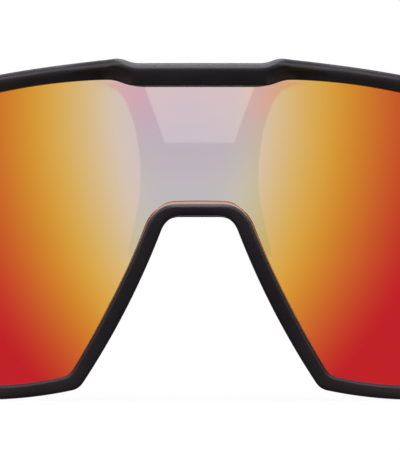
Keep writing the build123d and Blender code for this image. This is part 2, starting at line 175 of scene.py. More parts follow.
def mirrorCoat():
    # stacked oxide layers on polycarbonate: a smooth mirror whose colour runs from crimson through orange and
    # gold to a pale pink grey.
    # The mirror's tint is the coat's own; its run outwards from the palest line is a painted reflection
    # colour for the coat's shift with viewing angle round the bent lens
    v = coatValues
    material, tree, shader, place = newMaterial("vacuumCoatedMirror")
    axes = addNode(tree, "ShaderNodeSeparateXYZ", links={"Vector": place})
    aside = addNode(tree, "ShaderNodeMath", {"operation": "SUBTRACT", 1: v["centreX"] * mm},
                    {0: axes.outputs[0]})
    across = addNode(tree, "ShaderNodeMath", {"operation": "ABSOLUTE"}, {0: aside.outputs[0]})
    down = addNode(tree, "ShaderNodeMath", {"operation": "SUBTRACT", 0: v["topZ"] * mm}, {1: axes.outputs[2]})
    drop = addNode(tree, "ShaderNodeMath", {"operation": "MULTIPLY"},
                   {0: down.outputs[0], 1: down.outputs[0]})
    level = addNode(tree, "ShaderNodeMath", {
        "operation": "MULTIPLY_ADD", 1: -v["fall"] / mm ** 2, 2: v["start"]}, {0: drop.outputs[0]})
    amount = addNode(tree, "ShaderNodeMath", {"operation": "MULTIPLY_ADD", 1: -v["perMm"] / mm},
                     {0: across.outputs[0], 2: level.outputs[0]})
    cloud = addNode(tree, "ShaderNodeTexNoise", {"Scale": 30.0, "Detail": 2}, {"Vector": place})
    wander = addNode(tree, "ShaderNodeMath", {"operation": "MULTIPLY_ADD", 1: 0.03, 2: -0.015},
                     {0: cloud.outputs["Fac"]})
    total = addNode(tree, "ShaderNodeMath", {"operation": "ADD"},
                    {0: amount.outputs[0], 1: wander.outputs[0]})
    share = addNode(tree, "ShaderNodeMath", {"operation": "DIVIDE", 1: v["tones"][-1][0]},
                    {0: total.outputs[0]})
    ramp = addNode(tree, "ShaderNodeValToRGB", links={"Fac": share.outputs[0]})
    ramp.color_ramp.interpolation = "B_SPLINE"
    stops = ramp.color_ramp.elements
    while len(stops) < len(v["tones"]):
        stops.new(0.5)
    for stop, (position, code) in zip(stops, v["tones"]):
        stop.position = position / v["tones"][-1][0]
        stop.color = linear(code)
    tree.links.new(ramp.outputs[0], shader.inputs["Base Color"])
    # handling marks
    haze = addNode(tree, "ShaderNodeTexNoise", {"Scale": 60.0, "Detail": 6}, {"Vector": place})
    gloss = addNode(tree, "ShaderNodeMapRange", {
        "From Min": 0.3, "From Max": 0.7,
        "To Min": v["roughness"] - 0.004, "To Max": v["roughness"] + 0.008}, {"Value": haze.outputs["Fac"]})
    tree.links.new(gloss.outputs[0], shader.inputs["Roughness"])
    shader.inputs["Metallic"].default_value = 1.0
    return material


edgePaintedLightValues = {
    "roughness": 0.3,
    # from the rim to the lens: a painted highlight of the rim's lip, the painted copper reflection of the lit
    # lip, and painted shade in the gap at the lens
    "tones": [(0.0, "#8d8480"), (0.3, "#c8ab9c"), (0.62, "#c9a593"), (0.85, "#7d5644"), (1.0, "#7c4e38")],
}


def paintedEdgeLight():
    # painted light on the lens's rounded edge: a pale painted highlight from the rim's lip, copper for the
    # mirror's painted reflection of the lit lip with paler highlight streaks along it, and a dark line of
    # painted shade in the gap at the lens
    v = edgePaintedLightValues
    material, tree, shader, place = newMaterial("lensEdgePaintedHighlightAndReflection")
    across = addNode(tree, "ShaderNodeAttribute", {"attribute_name": "across"})
    streaks = addNode(tree, "ShaderNodeTexNoise", {"Scale": 400.0, "Detail": 3}, {"Vector": place})
    shifted = addNode(tree, "ShaderNodeMath", {"operation": "MULTIPLY_ADD", 1: 0.12, 2: -0.06},
                      {0: streaks.outputs["Fac"]})
    share = addNode(tree, "ShaderNodeMath", {"operation": "ADD"},
                    {0: across.outputs["Fac"], 1: shifted.outputs[0]})
    tone = addNode(tree, "ShaderNodeValToRGB", links={"Fac": share.outputs[0]})
    while len(tone.color_ramp.elements) < len(v["tones"]):
        tone.color_ramp.elements.new(0.5)
    for stop, (position, code) in zip(tone.color_ramp.elements, v["tones"]):
        stop.position, stop.color = position, linear(code)
    gloss = addNode(tree, "ShaderNodeMapRange", {
        "To Min": v["roughness"] - 0.05, "To Max": v["roughness"] + 0.05}, {"Value": streaks.outputs["Fac"]})
    tree.links.new(tone.outputs[0], shader.inputs["Base Color"])
    tree.links.new(gloss.outputs[0], shader.inputs["Roughness"])
    shader.inputs["Metallic"].default_value = 1.0
    return material


def smokedPolycarbonate():
    # cast and polished, smoke brown: nearly black in the thickness, with a hard wet shine
    material, tree, shader, place = newMaterial("polishedSmokePolycarbonate")
    broad = addNode(tree, "ShaderNodeTexNoise", {"Scale": 40.0, "Detail": 2}, {"Vector": place})
    tone = addNode(tree, "ShaderNodeValToRGB", links={"Fac": broad.outputs["Fac"]})
    for stop, (position, code) in zip(tone.color_ramp.elements, ((0.35, "#1d130d"), (0.68, "#271a12"))):
        stop.position, stop.color = position, linear(code)
    gloss = addNode(tree, "ShaderNodeMapRange", {"To Min": 0.02, "To Max": 0.08},
                    {"Value": broad.outputs["Fac"]})
    tree.links.new(tone.outputs[0], shader.inputs["Base Color"])
    tree.links.new(gloss.outputs[0], shader.inputs["Roughness"])
    shader.inputs["IOR"].default_value = 1.585
    return material


lensCoat = mirrorCoat()
lensEdgePaintedLight = paintedEdgeLight()
lensBody = smokedPolycarbonate()
print("materials made")


# outlines of the front's left half, as (x, z) points read in threes as arcs
outline = {
    "radius": 90.0, "proud": 1.5, "depth": 4.9, "barReach": 4.94, "barDepth": 3.6, "groove": 0.8, "lens": 2.0,
    "halfWidth": 69.4, "cornerRadius": 10.0, "cornerStart": 7.3, "barHalf": 11.9, "facetEnd": 17.6,
    "ventHalf": 13.5, "lensTop": 58.4,
    "wallX": 66.675, "buttBack": 42.0, "lugLow": 34.1, "lugHigh": 46.35,
    "browBevel": 1.5, "edgeBevel": 0.6, "bevelDepth": 1.15, "lip": 0.75, "browUnder": 0.35,
    "facetRound": 0.16, "crestEnd": 24.0, "crestFade": 0.55,
    "outerBrow": [(14.2, 60.85), (25.0, 59.8), (35.6, 58.3), (53.5, 53.9), (69.4, 46.4)],
    "innerBrow": [(17.8, 57.15), (27.0, 56.5), (35.6, 55.2), (50.0, 51.6), (62.8, 46.2)],
    "outerLow": [(69.4, 34.0), (66.9, 21.3), (61.0, 10.67), (52.3, 3.1), (40.0, 0.0), (31.0, 0.5),
                 (21.45, 2.15)],
    "innerLow": [(63.4, 31.0), (62.0, 20.7), (58.86, 12.23), (51.0, 5.4), (40.0, 2.65), (32.0, 3.0),
                 (23.15, 4.6)],
    "outerLeg": [(21.45, 2.15), (13.3, 15.9), (5.85, 32.95)],
    "innerLeg": [(23.15, 4.6), (16.25, 16.6), (7.9, 34.95)],
    "outerBar": [(0, 60.0), (11.7, 60.0), (14.2, 60.95)],
    "innerBar": [(0, 55.95), (12.1, 55.95), (15.4, 57.15)],
    # how far each corner's rounding reaches: brow end, foot, arch, bar end, facet end
    "outerReach": (2.2, 1.3, 2.9, 1.1, 1.2), "innerReach": (3.6, 1.4, 3.9, 1.4, 1.1),
}
axisBack = outline["radius"]


def arc(a, b, c, steps=40):
    # points on the circle through three points
    ax, ay, bx, by, cx, cy = *a, *b, *c
    d = 2 * (ax * (by - cy) + bx * (cy - ay) + cx * (ay - by))
    if abs(d) < 1e-9:
        return [(ax + (cx - ax) * i / steps, ay + (cy - ay) * i / steps) for i in range(steps + 1)]
    aa, bb, cc = ax * ax + ay * ay, bx * bx + by * by, cx * cx + cy * cy
    ux = (aa * (by - cy) + bb * (cy - ay) + cc * (ay - by)) / d
    uy = (aa * (cx - bx) + bb * (ax - cx) + cc * (bx - ax)) / d
    r = math.hypot(ax - ux, ay - uy)
    turns = [math.atan2(y - uy, x - ux) for x, y in (a, b, c)]
    sweep = (turns[2] - turns[0]) % math.tau
    if (turns[1] - turns[0]) % math.tau > sweep:
        sweep -= math.tau
    return [(ux + r * math.cos(turns[0] + sweep * i / steps),
             uy + r * math.sin(turns[0] + sweep * i / steps)) for i in range(steps + 1)]


def chain(points):
    run = []
    for i in range(0, len(points) - 2, 2):
        run += arc(*points[i:i + 3])[:-1]
    return run + [points[-1]]


def resample(run, count):
    lengths = [0.0]
    for a, b in zip(run, run[1:]):
        lengths.append(lengths[-1] + math.dist(a, b))
    out, k = [], 0
    for i in range(count + 1):
        want = lengths[-1] * i / count
        while k < len(run) - 2 and lengths[k + 1] < want:
            k += 1
        gap = lengths[k + 1] - lengths[k] or 1
        t = min(max((want - lengths[k]) / gap, 0), 1)
        out.append(tuple(p + (q - p) * t for p, q in zip(run[k], run[k + 1])))
    return out


def trimmed(run, length):
    # takes a length off the end of a run
    run = list(run)
    while len(run) > 2 and math.dist(run[-1], run[-2]) < length:
        length -= math.dist(run[-1], run[-2])
        run.pop()
    t = length / max(math.dist(run[-1], run[-2]), 1e-9)
    run[-1] = tuple(q + (p - q) * t for p, q in zip(run[-2], run[-1]))
    return run


def corner(before, after, reach):
    # rounds the corner where two runs meet, and returns all three parts
    tip = before[-1]
    before = trimmed(before, reach)
    after = trimmed(after[::-1], reach)[::-1]
    a, b = before[-1], after[0]
    bend = []
    for t in [i / 12 for i in range(13)]:
        bend.append(tuple((1 - t) ** 2 * p + 2 * t * (1 - t) * q + t * t * r for p, q, r in zip(a, tip, b)))
    return before, bend, after


def halfLoop(bar, facet, shoulder, brow, side, low, leg, top, reaches):
    bar, barCorner, facet = corner(bar, facet, reaches[3])
    facet, facetCorner, shoulder = corner(facet, shoulder, reaches[4])
    brow, browCorner, side = corner(brow, side, reaches[0])
    low, footCorner, leg = corner(low, leg, reaches[1])
    leg, archCorner, top = corner(leg, top, reaches[2])
    counts = (14, 8, 10, 12, 14, 70, 10, 36, 96, 10, 44, 12, 8)
    runs = [bar, barCorner, facet, facetCorner, shoulder, brow, browCorner, side, low, footCorner, leg,
            archCorner, top]
    names = "bar bar facet facet shoulder brow browCorner side low footCorner leg archCorner arch".split()
    points, marks = [], []
    for name, run, count in zip(names, runs, counts):
        points += resample(run, count)[:-1]
        marks += [name] * count
    return points + [runs[-1][-1]], marks + ["arch"]


o = outline
outerBrowRun = chain(o["outerBrow"])
split = next(i for i, p in enumerate(outerBrowRun) if p[0] > 17.7)
outerBar, innerBar, outerLeg, innerLeg = o["outerBar"], o["innerBar"], o["outerLeg"], o["innerLeg"]
outerHalf, marks = halfLoop(
    outerBar[:2], outerBar[1:], [outerBar[2], *outerBrowRun[4:split + 1]], outerBrowRun[split:],
    [o["outerBrow"][-1], o["outerLow"][0]], chain(o["outerLow"]), chain(outerLeg),
    [outerLeg[-1], (0, outerLeg[-1][1])], o["outerReach"])
innerHalf, marks = halfLoop(
    innerBar[:2], innerBar[1:], [innerBar[2], o["innerBrow"][0]], chain(o["innerBrow"]),
    [o["innerBrow"][-1], o["innerLow"][0]], chain(o["innerLow"]), chain(innerLeg),
    [innerLeg[-1], (0, innerLeg[-1][1])], o["innerReach"])
wholeLoop = [(outer, inner, mark) for outer, inner, mark in zip(outerHalf, innerHalf, marks)]
for outer, inner, mark in wholeLoop[-2:0:-1]:
    wholeLoop.append(((-outer[0], outer[1]), (-inner[0], inner[1]), mark))


def bendY(x, radius):
    return apexY + axisBack - math.sqrt(max(radius ** 2 - x ** 2, 0))


def skinY(x):
    # the round corner where the bent front turns into the end piece's straight side
    cornerX = o["halfWidth"] - o["cornerRadius"]
    cornerBack = axisBack - math.sqrt((o["radius"] + o["proud"] - o["cornerRadius"]) ** 2 - cornerX ** 2)
    over = min(abs(x) - cornerX, o["cornerRadius"])
    if abs(x) <= cornerX + o["cornerStart"]:
        return -math.inf
    return apexY + cornerBack - math.sqrt(o["cornerRadius"] ** 2 - over ** 2)


def ease(t):
    t = min(max(t, 0), 1)
    return t * t * (3 - 2 * t)


def eveningOut(t, bend):
    # a straight slope from 0 to 1 with a bend of this share at each end
    t = min(max(t, 0), 1)
    if t < bend:
        return t * t / (2 * bend * (1 - bend))
    if t > 1 - bend:
        return 1 - (1 - t) ** 2 / (2 * bend * (1 - bend))
    return (t - bend / 2) / (1 - bend)


def makeMesh(name, points, faces, materials, indices=None, angle=None):
    mesh = bpy.data.meshes.new(name)
    mesh.from_pydata([tuple(c * mm for c in p) for p in points], [], faces)
    for material in materials:
        mesh.materials.append(material)
    if indices:
        mesh.polygons.foreach_set("material_index", indices)
    work = bmesh.new()
    work.from_mesh(mesh)
    bmesh.ops.recalc_face_normals(work, faces=work.faces)
    work.to_mesh(mesh)
    work.free()
    mesh.shade_smooth()
    if angle:
        mesh.set_sharp_from_angle(angle=math.radians(angle))
    made = bpy.data.objects.new(name, mesh)
    bpy.context.collection.objects.link(made)
    return made


def frontRing(outer, inner, mark):
    # one cross-section of the rim: over the face, round the lens groove and along the back
    width = math.dist(outer, inner)
    heading = ((inner[0] - outer[0]) / width, (inner[1] - outer[1]) / width)
    x = abs(outer[0])
    onTop = mark in ("bar", "facet", "shoulder", "brow")
    face = o["radius"] + o["proud"]
    back = face - o["depth"]
    lensOut, lensIn = o["radius"] + 0.04, o["radius"] - o["lens"] - 0.04
    groove = min(o["groove"], width * 0.45)
    if onTop and x < o["ventHalf"] + 0.4:
        back, groove = o["radius"] + o["barReach"] - o["barDepth"], 0
        lensOut, lensIn = back + 1.6, back + 1.0
    bevel = o["edgeBevel"]
    if onTop:
        bevel = o["browBevel"]
    elif mark == "browCorner":
        bevel = (o["browBevel"] + o["edgeBevel"]) / 2
    bevel = min(bevel, width * 0.42)
    lip = min(o["lip"] if not onTop else 0.35, width * 0.35)
    lug = 0
    if mark in ("side", "browCorner", "low", "brow") and x > 66:
        lug = ease((o["lugHigh"] - outer[1]) / 0.5) * ease((outer[1] - o["lugLow"] + 0.5) / 0.5)
    wall = min(o["halfWidth"] - o["wallX"], width * 0.5)
    turns = [math.radians(turn) for turn in range(0, 91, 10)]
    ring = [(bevel * (1 - math.cos(turn)),
             face - bevel * o["bevelDepth"] * (1 - math.sin(turn))) for turn in turns]
    flat = (bevel, width - lip)
    under = o["browUnder"] if onTop else 0
    for t in (0.1, 0.2, 0.3, 0.4, 0.55, 0.75):
        swell = 0.04 * math.sin(math.pi * t)
        ring.append((flat[0] + (flat[1] - flat[0]) * t, face + swell - under * t ** 1.5))
    turns = [math.radians(turn) for turn in range(0, 91, 15)]
    ring += [(width - lip * (1 - math.sin(turn)),
              face - under - lip * (1 - math.cos(turn))) for turn in turns]
    frontCount = len(ring)
    ring += [(width, lensOut), (width - groove, lensOut), (width - groove, lensIn), (width, lensIn)]
    ring += [(width, back + 0.35), (width - 0.1, back + 0.1), (width - 0.35, back)]
    ring += [(wall + (width - wall) * t, back) for t in (0.6, 0.3)]
    points = []
    for k, (inset, radius) in enumerate(ring):
        px, pz = outer[0] + heading[0] * inset, outer[1] + heading[1] * inset
        if onTop and k < frontCount:
            # the crest runs on from the bar to the brow, and the hollow facet lies below it
            crest = ease((o["crestEnd"] - abs(px)) / (o["crestEnd"] - o["barHalf"]))
            hollow = eveningOut((o["facetEnd"] - abs(px)) / (o["facetEnd"] - o["barHalf"] + 0.4),
                                o["facetRound"])
            down = ease((inset - bevel) / (o["crestFade"] * (width - lip - bevel)))
            radius += (o["barReach"] - o["proud"]) * (crest + (hollow - crest) * down)
        points.append((px, max(bendY(px, radius), skinY(px)), pz))
    for inset, out in ((wall + 0.05, 0.0), (wall, 0.0), (wall, 0.97), (wall - 0.2, 1.0), (0.3, 1.0),
                       (0.06, 0.985), (0, 0.94)):
        px, pz = outer[0] + heading[0] * inset, outer[1] + heading[1] * inset
        flush = bendY(px, back + (0.0 if inset > 0.2 else 0.15 if inset > 0.01 else 0.4))
        points.append((px, flush + max(apexY + o["buttBack"] - flush, 0) * out * lug, pz))
    return points


def tube(rings, closedRound=True):
    # quads between neighbouring rings of equal length
    faces, size = [], len(rings[0])
    last = len(rings) if closedRound else len(rings) - 1
    for i in range(last):
        for k in range(size):
            a, b = i * size + k, i * size + (k + 1) % size
            c, d = ((i + 1) % len(rings)) * size + (k + 1) % size, ((i + 1) % len(rings)) * size + k
            faces.append((a, b, c, d))
    return [p for ring in rings for p in ring], faces


rimPoints, rimFaces = tube([frontRing(*station) for station in wholeLoop])
front = makeMesh("frontRim", rimPoints, rimFaces, [frameNylon], angle=48)
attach(front, "front")
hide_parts("front_frame")
print("front rim made,", len(rimFaces), "faces")


# the lens: a bent sheet cut to the opening, coated in front and plain behind
lensValues = {"columns": 300, "rows": 44, "edge": 0.75}
edgeLoop = []
for outer, inner, mark in wholeLoop[:len(outerHalf)]:
    width = math.dist(outer, inner)
    grow = lensValues["edge"] / width
    edgeLoop.append((inner[0] + (outer[0] - inner[0]) * grow, inner[1] + (outer[1] - inner[1]) * grow, mark))
sideEnd = max(range(len(edgeLoop)), key=lambda i: edgeLoop[i][0])


def heightAt(run, x):
    for (ax, az, _), (bx, bz, _) in zip(run, run[1:]):
        if ax <= x <= bx:
            return az + (bz - az) * ((x - ax) / (bx - ax) if bx > ax else 0)
    return run[-1][1]


upperRun = edgeLoop[:sideEnd + 1]
lowerRun = edgeLoop[sideEnd:][::-1]
halfSpan = edgeLoop[sideEnd][0] - 0.02
lensPoints, lensFaces, lensIndices = [], [], []
columns, rows = lensValues["columns"], lensValues["rows"]
for radius in (o["radius"], o["radius"] - o["lens"]):
    for i in range(columns + 1):
        x = -halfSpan + 2 * halfSpan * i / columns
        high = heightAt(upperRun, abs(x))
        if abs(x) < o["ventHalf"] - 0.05:
            high = o["lensTop"]
        low = heightAt(lowerRun, abs(x))
        for j in range(rows + 1):
            lensPoints.append((x, bendY(x, radius), low + (high - low) * j / rows))
sheetSize = (columns + 1) * (rows + 1)
for i in range(columns):
    for j in range(rows):
        a = i * (rows + 1) + j
        quad = (a, a + rows + 1, a + rows + 2, a + 1)
        lensFaces.append(quad)
        lensIndices.append(0)
        lensFaces.append(tuple(sheetSize + k for k in quad[::-1]))
        lensIndices.append(1)
rimWay = [i * (rows + 1) for i in range(columns + 1)] + [columns * (rows + 1) + j for j in range(1, rows + 1)]
rimWay += [i * (rows + 1) + rows for i in range(columns - 1, -1, -1)] + [j for j in range(rows - 1, 0, -1)]
for a, b in zip(rimWay, rimWay[1:] + rimWay[:1]):
    lensFaces.append((a, a + sheetSize, b + sheetSize, b))
    lensIndices.append(1)
lens = makeMesh("mirrorLens", lensPoints, lensFaces, [lensCoat, lensBody], lensIndices, angle=40)
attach(lens, "front")
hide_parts("shield_lens")
print("lens made")


# the lens's rounded edge where it dips into the rim round the nose: a strip that carries painted highlight,
# painted reflection and painted shade
beadValues = {
    "archWidth": 0.75, "cornerWidth": 0.34, "legWidth": 0.17, "high": 0.12,
    # the straight arch's half width, and how far inside it the bead narrows
    "archHalf": 7.5, "archFade": 3.0,
    "legTop": 24.0, "legFade": 9.0, "footTop": 5.0, "footFade": 12.0, "footShare": 0.15,
    "darkStart": 5.5, "darkFade": 3.5, "darkest": 0.75,
}
beadSection = ((-0.3, 0.0), (-0.3, 0.8), (0.1, 1.0), (0.35, 0.9), (0.6, 0.65), (0.8, 0.35), (1.0, -0.1),
               (1.0, -0.5), (0.3, -0.5))
beadRings = []
for outer, inner, mark in wholeLoop:
    if mark not in ("arch", "archCorner", "leg"):
        continue
    heading = ((inner[0] - outer[0]) / math.dist(outer, inner),
               (inner[1] - outer[1]) / math.dist(outer, inner))
    v = beadValues
    wide = v["legWidth"] + (v["cornerWidth"] - v["legWidth"]) * ease((inner[1] - v["legTop"]) / v["legFade"])
    wide += (v["archWidth"] - v["cornerWidth"]) * ease((v["archHalf"] - abs(inner[0])) / v["archFade"])
    wide *= ease((inner[1] - v["footTop"]) / v["footFade"]) * (1 - v["footShare"]) + v["footShare"]
    section = []
    for out, up in beadSection:
        px, pz = inner[0] + heading[0] * out * wide, inner[1] + heading[1] * out * wide
        section.append((px, bendY(px, o["radius"] + up * beadValues["high"]), pz))
    beadRings.append(section)
beadPoints, beadFaces = tube(beadRings, False)
size = len(beadRings[0])
beadFaces += [tuple(range(size)), tuple(len(beadPoints) - 1 - k for k in range(size))]
bead = makeMesh("lensEdge", beadPoints, beadFaces, [lensEdgePaintedLight], angle=60)
across = bead.data.attributes.new("across", "FLOAT", "POINT")
v = beadValues
# the painted copper reflection darkens round the corners and down the legs
darker = [v["darkest"] * ease((abs(ring[3][0]) - v["darkStart"]) / v["darkFade"]) for ring in beadRings]
shares = [min(max(out, 0), 1) for out, up in beadSection]
across.data.foreach_set("value", [dark + (1 - dark) * share for dark in darker for share in shares])
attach(bead, "front")


def ribTree(name):
    # rounded ribs set out evenly along a curve, each with its own small difference in size
    tree = bpy.data.node_groups.new(name, "GeometryNodeTree")
    tree.interface.new_socket("Geometry", in_out="INPUT", socket_type="NodeSocketGeometry")
    for label, kind in (("Count", "Int"), ("Along", "Float"), ("Sideways", "Float"), ("Upwards", "Float"),
                        ("Difference", "Float"), ("Seed", "Int"), ("Material", "Material")):
        tree.interface.new_socket(label, in_out="INPUT", socket_type="NodeSocket" + kind)
    tree.interface.new_socket("Geometry", in_out="OUTPUT", socket_type="NodeSocketGeometry")
    given = addNode(tree, "NodeGroupInput").outputs
    evenly = addNode(tree, "GeometryNodeResampleCurve",
                     links={"Curve": given["Geometry"], "Count": given["Count"]})
    spots = addNode(tree, "GeometryNodeCurveToPoints", {"mode": "EVALUATED"},
                    {"Curve": evenly.outputs["Curve"]})
    rib = addNode(tree, "GeometryNodeMeshUVSphere", {"Segments": 20, "Rings": 12, "Radius": 0.5})
    size = addNode(tree, "ShaderNodeCombineXYZ",
                   links={"X": given["Sideways"], "Y": given["Upwards"], "Z": given["Along"]})
    least = addNode(tree, "ShaderNodeMath", {"operation": "SUBTRACT", 0: 1.0}, {1: given["Difference"]})
    share = addNode(tree, "FunctionNodeRandomValue", {"data_type": "FLOAT"}, {"Seed": given["Seed"]})
    tree.links.new(least.outputs[0], share.inputs[2])
    share.inputs[3].default_value = 1.0
    scale = addNode(tree, "ShaderNodeVectorMath", {"operation": "SCALE"},
                    {"Vector": size.outputs[0], "Scale": share.outputs[1]})
    ribs = addNode(tree, "GeometryNodeInstanceOnPoints", links={
        "Points": spots.outputs["Points"], "Instance": rib.outputs["Mesh"],
        "Rotation": spots.outputs["Rotation"], "Scale": scale.outputs[0]})
    real = addNode(tree, "GeometryNodeRealizeInstances", links={"Geometry": ribs.outputs["Instances"]})
    smooth = addNode(tree, "GeometryNodeSetShadeSmooth", links={"Geometry": real.outputs[0]})
    coated = addNode(tree, "GeometryNodeSetMaterial",
                     links={"Geometry": smooth.outputs[0], "Material": given["Material"]})
    addNode(tree, "NodeGroupOutput", links={"Geometry": coated.outputs[0]})
    return tree


ribs = ribTree("evenRibs")


def ribsAlong(name, path, values, material):
    # path is in mm; the curve is used up and a plain mesh is left
    line = bpy.data.curves.new(name + "Line", "CURVE")
    line.dimensions = "3D"
    spline = line.splines.new("POLY")
    spline.points.add(len(path) - 1)
    for point, spot in zip(spline.points, path):
        point.co = (*[c * mm for c in spot], 1)
    carrier = bpy.data.objects.new(name + "Line", line)
    bpy.context.collection.objects.link(carrier)
    modifier = carrier.modifiers.new("ribs", "NODES")
    modifier.node_group = ribs
    wanted = {"Count": values["count"], "Along": values["along"] * mm, "Sideways": values["sideways"] * mm,
              "Upwards": values["upwards"] * mm, "Difference": values["difference"], "Seed": values["seed"],
              "Material": material}
    for item in ribs.interface.items_tree:
        if item.in_out == "INPUT" and item.name in wanted:
            modifier[item.identifier] = wanted[item.name]
    mesh = plainMesh(carrier, name)
    bpy.data.objects.remove(carrier)
    made = bpy.data.objects.new(name, mesh)
    bpy.context.collection.objects.link(made)
    return made


def plainMesh(owner, name):
    # what the modifiers make of an object, as a mesh of its own
    bpy.context.view_layer.update()
    mesh = bpy.data.meshes.new_from_object(owner.evaluated_get(bpy.context.evaluated_depsgraph_get()))
    mesh.name = name
    return mesh


# the soft saddle over the clip's fin; inside and outside are measured from the nose opening's edge
saddleValues = {
    "start": 3.0, "back": 18.0, "flare": 3.4, "frontRadius": 84.35, "inside": -0.1, "outside": 2.9,
    "edge": 0.95, "frontEdge": 0.35, "belly": 0.45, "cornerReach": 2.6, "endRound": 1.3,
    "archEnd": (5.85, 32.85), "legMiddle": (12.6, 17.8), "legEnd": (18.4, 7.0),  # on the nose opening's edge
    "ribs": {"count": 10, "along": 0.85, "sideways": 8.5, "upwards": 0.9, "difference": 0.05, "seed": 4},
}


def saddlePath():
    # the nose opening's edge from its middle down one leg, as (x, z)
    v = saddleValues
    archEnd = v["archEnd"]
    leg = arc(archEnd, v["legMiddle"], v["legEnd"])
    top, bend, leg = corner([(0, archEnd[1]), archEnd], leg, v["cornerReach"])
    half = resample(top, 6)[:-1] + resample(bend, 12)[:-1] + resample(leg, 60)
    return [(-x, z) for x, z in half[:0:-1]] + half


def saddleSpot(path, i, shift, back):
    # a point of the saddle: out from the opening's edge, and back along the flare
    v = saddleValues
    (ax, az), (bx, bz) = path[max(i - 1, 0)], path[min(i + 1, len(path) - 1)]
    length = math.hypot(bx - ax, bz - az)
    x, z = path[i]
    topZ, middleZ, endZ = v["archEnd"][1], v["legMiddle"][1], v["legEnd"][1]
    share = abs(x) / 20
    if abs(x) > 5:
        share = 0.25 + 0.5 * min(max((topZ - z) / (topZ - middleZ), 0), 1)
        share += 0.25 * max((middleZ - z) / (middleZ - endZ), 0)
    flare = v["flare"] * share * (back - v["start"]) / (v["back"] - v["start"])
    return (x - (bz - az) / length * shift + math.copysign(flare, x), apexY + back,
            z + (bx - ax) / length * shift)


def saddleRing(path, i, shrink):
    v = saddleValues
    belly = v["belly"] * ease((30 - path[i][1]) / 4)
    front = bendY(path[i][0], v["frontRadius"]) - apexY
    low, high = v["inside"], v["outside"]
    section = []
    for middleShift, middleBack, radius, first in (
            (high - v["edge"], v["back"] - v["edge"], v["edge"], 0),
            (low + v["edge"], v["back"] - v["edge"], v["edge"], 90),
            (low + v["frontEdge"], front + v["frontEdge"], v["frontEdge"], 180),
            (high - v["frontEdge"], front + v["frontEdge"], v["frontEdge"], 270)):
        for turn in range(0, 91, 18):
            angle = math.radians(first + turn)
            section.append((middleShift + radius * math.cos(angle), middleBack + radius * math.sin(angle)))
        if first == 90:
            start, end = section[-1][1], front + v["frontEdge"]
            for t in (0.15, 0.3, 0.45, 0.6, 0.75, 0.9):
                section.append((low - belly * math.sin(math.pi * t), start + (end - start) * t))
    middle = ((low + high) / 2, (front + v["back"]) / 2)
    return [saddleSpot(path, i, *[m + (c - m) * shrink for m, c in zip(middle, spot)]) for spot in section]


path = saddlePath()
saddleRings, lengths = [], [0.0]
for a, b in zip(path, path[1:]):
    lengths.append(lengths[-1] + math.dist(a, b))
for i in range(len(path)):
    fromEnd = min(lengths[i], lengths[-1] - lengths[i])
    reach = max(1 - fromEnd / saddleValues["endRound"], 0)
    saddleRings.append(saddleRing(path, i, math.sqrt(1 - 0.75 * reach ** 2)))
saddlePoints, saddleFaces = tube(saddleRings, False)
size = len(saddleRings[0])
saddleFaces += [tuple(range(size)), tuple(len(saddlePoints) - 1 - k for k in range(size))]
saddle = makeMesh("noseSaddle", saddlePoints, saddleFaces, [gripElastomer], angle=60)
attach(saddle, "front")
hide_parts("nose_saddle")
for word, span in (("right", range(6, 46)), ("left", range(len(path) - 46, len(path) - 6))):
    line = [saddleSpot(path, i, saddleValues["inside"] - saddleValues["belly"] * 0.85, 11.5) for i in span]
    rib = ribsAlong(word + "SaddleRibs", line, saddleValues["ribs"], gripElastomer)
    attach(rib, "front")
print("nose saddle made")


# the soft grips; start, bendStart and tipBack are measured back from the lens's foremost line
gripValues = {
    "start": 96.05, "axisZ": 41.1, "bendStart": 100.0, "bendRadius": 32.0, "bendAngle": 50.0,
    "tipBack": 145.0455, "tipZ": 5.2, "tipRadius": 5.2, "halfHeight": 4.2, "halfWidth": 2.1, "edge": 1.7,
    "proud": 0.3, "toeIn": 3.0, "eye": 1.25, "eyeFlare": 0.55,
    "ribs": {"count": 13, "along": 1.25, "sideways": 0.75, "upwards": 5.6, "difference": 0.04, "seed": 9},
}


def gripPath():
    # centre line from the arm to the tip, as (back, height, direction, half height, how round the end is)
    v = gripValues
    stations = [(v["start"], v["axisZ"], 0.0, v["halfHeight"] - 0.35, 0.35),
                (v["start"] + 0.12, v["axisZ"], 0.0, v["halfHeight"] - 0.1, 0.1)]
    stations += [(b, v["axisZ"], 0.0, v["halfHeight"], 0.0) for b in (v["start"] + 0.4, 98.0, v["bendStart"])]
    for k in range(1, 29):
        turn = math.radians(v["bendAngle"] * k / 28)
        stations.append((v["bendStart"] + v["bendRadius"] * math.sin(turn),
                         v["axisZ"] - v["bendRadius"] * (1 - math.cos(turn)), turn, v["halfHeight"], 0.0))
    b, z, turn, _, _ = stations[-1]
    for k in range(1, 17):
        t = k / 16
        stations.append((b + (v["tipBack"] - b) * t, z + (v["tipZ"] - z) * t, turn,
                         v["halfHeight"] + (v["tipRadius"] - v["halfHeight"]) * t, 0.0))
    for k in range(1, 16):
        out = v["tipRadius"] * math.sin(math.radians(90 * k / 15.4))
        half = math.sqrt(v["tipRadius"] ** 2 - out ** 2)
        soft = max(out - (v["tipRadius"] - v["edge"]), 0) / v["edge"]
        stations.append((v["tipBack"] + out * math.cos(turn), v["tipZ"] - out * math.sin(turn), turn, half,
                         v["edge"] * (1 - math.sqrt(1 - soft ** 2))))
    return stations


def gripPoint(side, back, z, sideways):
    # sideways is measured outwards from the grip's outer face
    v = gripValues
    outer = o["halfWidth"] - (back - o["buttBack"]) * math.tan(math.radians(v["toeIn"])) + v["proud"]
    return (side * (outer + sideways), apexY + back, z)


